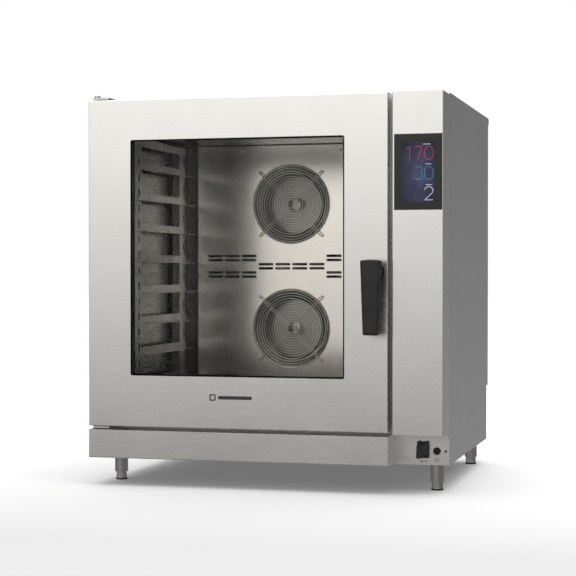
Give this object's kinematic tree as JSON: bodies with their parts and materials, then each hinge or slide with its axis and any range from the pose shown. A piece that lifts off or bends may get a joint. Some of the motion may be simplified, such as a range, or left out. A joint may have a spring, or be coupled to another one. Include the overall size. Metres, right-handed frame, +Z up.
{
  "type": "combi steamer oven",
  "caption": "Countertop convection and steam oven with a side-hung glazed door, tray racks, twin fans behind a baffle, touch display and adjustable feet.",
  "frame": {"origin": "on the floor under the centre of the oven's bounding box, with the feet screwed in", "axes": "+X to the right seen from the door, +Y from the door to the back, +Z up"},
  "size_m": [0.955, 0.9024, 1.041],
  "materials": {
    "casing_steel": "fine brushed stainless sheet",
    "door_steel": "fine brushed stainless sheet",
    "chamber_steel": "bright stainless sheet, dulled by heat",
    "wire_steel": "polished round wire",
    "fan_steel": "pressed stainless",
    "fastener_steel": "turned and milled stainless",
    "foot_steel": "turned stainless, satin",
    "element_steel": "sheathed element, heat-darkened",
    "motor_paint": "grey stove enamel",
    "pipe_steel": "welded stainless tube",
    "window_glass": "clear toughened glass",
    "touch_glass": "black-printed touch glass",
    "black_rubber": "matt silicone",
    "black_plastic": "fine-grained moulded plastic",
    "lamp_plastic": "smoked clear plastic",
    "bush_brass": "turned",
    "board": "green laminate with black components",
    "wool": "mineral wool slab"
  },
  "bodies": {
    "root": {"left_side_panel": "casing_steel", "right_side_panel": "casing_steel", "top_cover": "casing_steel", "back_panel": "casing_steel", "lower_back_panel": "casing_steel", "lower_front_panel": "casing_steel", "control_fascia": "casing_steel", "drip_tray": "casing_steel", "front_frame": "casing_steel", "base_pan": "casing_steel", "oven_cavity": "chamber_steel", "fan_baffle": "chamber_steel", "rack_frames": "chamber_steel", "left_rack_rails": "chamber_steel", "right_rack_rails": "chamber_steel", "rack_studs": "chamber_steel", "drain_strainer": "chamber_steel", "upper_fan_guard": "wire_steel", "lower_fan_guard": "wire_steel", "panel_screws": "fastener_steel", "hinge_brackets": "fastener_steel", "latch_strike": "fastener_steel", "steam_injector": "fastener_steel", "foot_sleeves": "foot_steel", "heating_elements": "element_steel", "fan_motors": "motor_paint", "vent_pipe": "pipe_steel", "drain_pipe": "pipe_steel", "display_glass": "touch_glass", "door_gasket": "black_rubber", "probe_socket": "black_plastic", "button_bezel": "black_plastic", "display_screen": "black_plastic", "cable_gland": "black_plastic", "cooling_fan_frame": "black_plastic", "vent_motor": "black_plastic", "water_valves": "black_plastic", "status_led": "lamp_plastic", "control_board": "board", "power_board": "board", "insulation": "wool"},
    "door": {"door_skin": "door_steel", "door_inner_frame": "door_steel", "door_outer_glass": "window_glass", "door_inner_glass": "window_glass", "window_seal": "black_rubber", "hinge_bushes": "bush_brass", "handle_rosette": "black_plastic"},
    "handle": {"door_handle": "black_plastic", "latch_hook": "fastener_steel"},
    "upper_fan": {"upper_fan_wheel": "fan_steel"},
    "lower_fan": {"lower_fan_wheel": "fan_steel"},
    "cooling_fan": {"cooling_fan_wheel": "black_plastic"},
    "vent_damper": {"vent_flap": "fan_steel"},
    "power_switch": {"power_button": "black_plastic"},
    "probe_cover": {"probe_flap": "black_plastic"},
    "front_left_foot": {"foot_front_left": "foot_steel"},
    "front_right_foot": {"foot_front_right": "foot_steel"},
    "rear_left_foot": {"foot_rear_left": "foot_steel"},
    "rear_right_foot": {"foot_rear_right": "foot_steel"}
  },
  "joints": [
    {"name": "door_swing", "type": "hinge", "parent": "root", "child": "door", "pos_m": [-0.463, -0.35975, 0.5925], "axis": [0, 0, -1], "range_deg": [0, 130]},
    {"name": "handle_turn", "type": "hinge", "parent": "door", "child": "handle", "pos_m": [0.3022, -0.38975, 0.57], "axis": [0, 1, 0], "range_deg": [0, 90]},
    {"name": "upper_fan_spin", "type": "hinge", "parent": "root", "child": "upper_fan", "pos_m": [-0.077, 0.21425, 0.772], "axis": [0, 1, 0], "continuous": true},
    {"name": "lower_fan_spin", "type": "hinge", "parent": "root", "child": "lower_fan", "pos_m": [-0.077, 0.21425, 0.402], "axis": [0, 1, 0], "continuous": true},
    {"name": "cooling_fan_spin", "type": "hinge", "parent": "root", "child": "cooling_fan", "pos_m": [0.2175, 0.39375, 0.172], "axis": [0, 1, 0], "continuous": true},
    {"name": "vent_flap_turn", "type": "hinge", "parent": "root", "child": "vent_damper", "pos_m": [0.103, 0.36325, 0.9825], "axis": [1, 0, 0], "range_deg": [0, 90]},
    {"name": "power_button_press", "type": "slide", "parent": "root", "child": "power_switch", "axis": [0, 1, 0], "range_m": [0, 0.0025], "stiffness_N_per_m": 800},
    {"name": "probe_flap_lift", "type": "hinge", "parent": "root", "child": "probe_cover", "pos_m": [0.4091, -0.29525, 0.128], "axis": [-1, 0, 0], "range_deg": [0, 100], "stiffness_Nm_per_rad": 0.01, "springref_deg": -20.05},
    {"name": "front_left_foot_screw", "type": "slide", "parent": "root", "child": "front_left_foot", "axis": [0, 0, -1], "range_m": [0, 0.02]},
    {"name": "front_right_foot_screw", "type": "slide", "parent": "root", "child": "front_right_foot", "axis": [0, 0, -1], "range_m": [0, 0.02]},
    {"name": "rear_left_foot_screw", "type": "slide", "parent": "root", "child": "rear_left_foot", "axis": [0, 0, -1], "range_m": [0, 0.02]},
    {"name": "rear_right_foot_screw", "type": "slide", "parent": "root", "child": "rear_right_foot", "axis": [0, 0, -1], "range_m": [0, 0.02]}
  ]
}
